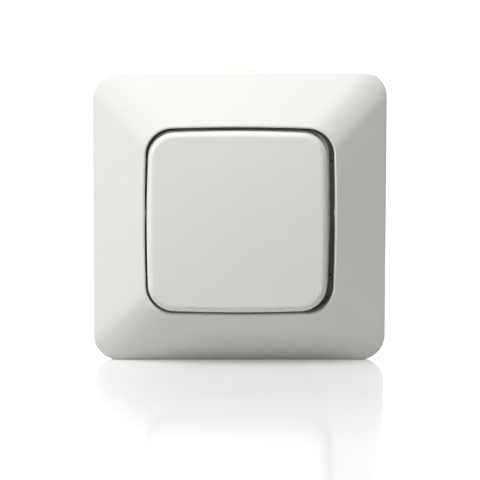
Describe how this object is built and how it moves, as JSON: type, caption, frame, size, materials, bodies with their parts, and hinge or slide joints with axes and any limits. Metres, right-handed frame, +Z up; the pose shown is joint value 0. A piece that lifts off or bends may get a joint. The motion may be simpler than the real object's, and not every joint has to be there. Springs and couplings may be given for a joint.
{
  "type": "light switch",
  "caption": "Flush wall light switch: square frame with sloped faces, crowned rocker pressed at its top, and a claw-fixed insert behind.",
  "frame": {"origin": "where the switch's own axis meets the wall's face, which is the back face of the steel ring", "axes": "+X to the right and +Z up as seen from the room, +Y into the wall; the rocker faces -Y"},
  "size_m": [0.085, 0.0345, 0.0853],
  "materials": {
    "white_plastic": "glossy moulded white",
    "steel": "zinc plated pressed steel",
    "screw_steel": "yellow zinc plated steel",
    "spring_steel": "bright spring steel",
    "cover_plastic": "pale grey moulded cover",
    "inner_plastic": "dark grey moulded inner frame",
    "base_plastic": "dark grey thermoset",
    "carrier_plastic": "natural nylon",
    "slider_plastic": "orange moulded sliders",
    "terminal_brass": "brass strip",
    "contact_silver": "silver contact faces"
  },
  "bodies": {
    "insert": {"cover_frame": "white_plastic", "inner_frame": "inner_plastic", "support_ring": "steel", "base_cover": "cover_plastic", "switch_base": "base_plastic", "base_rivets": "terminal_brass", "fixed_contacts": "contact_silver", "common_terminal": "terminal_brass", "output_terminal_lower": "terminal_brass", "output_terminal_upper": "terminal_brass", "clamp_springs": "spring_steel", "claw_pins": "steel"},
    "rocker": {"rocker": "white_plastic", "tumbler": "carrier_plastic", "plunger_spring": "spring_steel"},
    "plunger": {"plunger": "carrier_plastic"},
    "contact_lever": {"contact_lever": "terminal_brass", "moving_contacts": "contact_silver"},
    "release_slider_lower": {"release_slider_lower": "slider_plastic"},
    "release_slider_upper": {"release_slider_upper": "slider_plastic"},
    "claw_screw_left": {"claw_screw_left": "screw_steel"},
    "claw_nut_left": {"claw_nut_left": "screw_steel"},
    "claw_left": {"claw_left": "steel"},
    "claw_screw_right": {"claw_screw_right": "screw_steel"},
    "claw_nut_right": {"claw_nut_right": "screw_steel"},
    "claw_right": {"claw_right": "steel"}
  },
  "joints": [
    {"name": "rocker_tip", "type": "hinge", "parent": "insert", "child": "rocker", "pos_m": [0, -0.0035, 0], "axis": [1, 0, 0], "range_deg": [0, 5]},
    {"name": "plunger_travel", "type": "slide", "parent": "rocker", "child": "plunger", "axis": [0, -0.999, 0.0436], "range_m": [0, 0.0015], "stiffness_N_per_m": 400, "deforming": ["plunger_spring"]},
    {"name": "contact_lever_tip", "type": "hinge", "parent": "insert", "child": "contact_lever", "pos_m": [0, 0.011, 0], "axis": [1, 0, 0], "range_deg": [-15, 0]},
    {"name": "release_lower_push", "type": "slide", "parent": "insert", "child": "release_slider_lower", "axis": [0, -1, 0], "range_m": [0, 0.0012], "stiffness_N_per_m": 500},
    {"name": "release_upper_push", "type": "slide", "parent": "insert", "child": "release_slider_upper", "axis": [0, -1, 0], "range_m": [0, 0.0012], "stiffness_N_per_m": 500},
    {"name": "claw_screw_left_turn", "type": "hinge", "parent": "insert", "child": "claw_screw_left", "pos_m": [-0.0213, -0.001, 0], "axis": [0, 1, 0], "range_deg": [0, 1800]},
    {"name": "claw_nut_left_travel", "type": "slide", "parent": "insert", "child": "claw_nut_left", "axis": [0, -1, 0], "range_m": [0, 0.005]},
    {"name": "claw_left_spread", "type": "hinge", "parent": "insert", "child": "claw_left", "pos_m": [-0.0239, 0.002, 0], "axis": [0, 0, 1], "range_deg": [0, 19]},
    {"name": "claw_screw_right_turn", "type": "hinge", "parent": "insert", "child": "claw_screw_right", "pos_m": [0.0213, -0.001, 0], "axis": [0, 1, 0], "range_deg": [0, 1800]},
    {"name": "claw_nut_right_travel", "type": "slide", "parent": "insert", "child": "claw_nut_right", "axis": [0, -1, 0], "range_m": [0, 0.005]},
    {"name": "claw_right_spread", "type": "hinge", "parent": "insert", "child": "claw_right", "pos_m": [0.0239, 0.002, 0], "axis": [0, 0, -1], "range_deg": [0, 19]}
  ],
  "couplings": [
    {"joint": "contact_lever_tip", "follows": "rocker_tip", "ratio": -3},
    {"joint": "claw_screw_left_turn", "follows": "claw_nut_left_travel", "rad_per_m": 6283.2},
    {"joint": "claw_left_spread", "follows": "claw_nut_left_travel", "rad_per_m": 66.323},
    {"joint": "claw_screw_right_turn", "follows": "claw_nut_right_travel", "rad_per_m": 6283.2},
    {"joint": "claw_right_spread", "follows": "claw_nut_right_travel", "rad_per_m": 66.323}
  ]
}
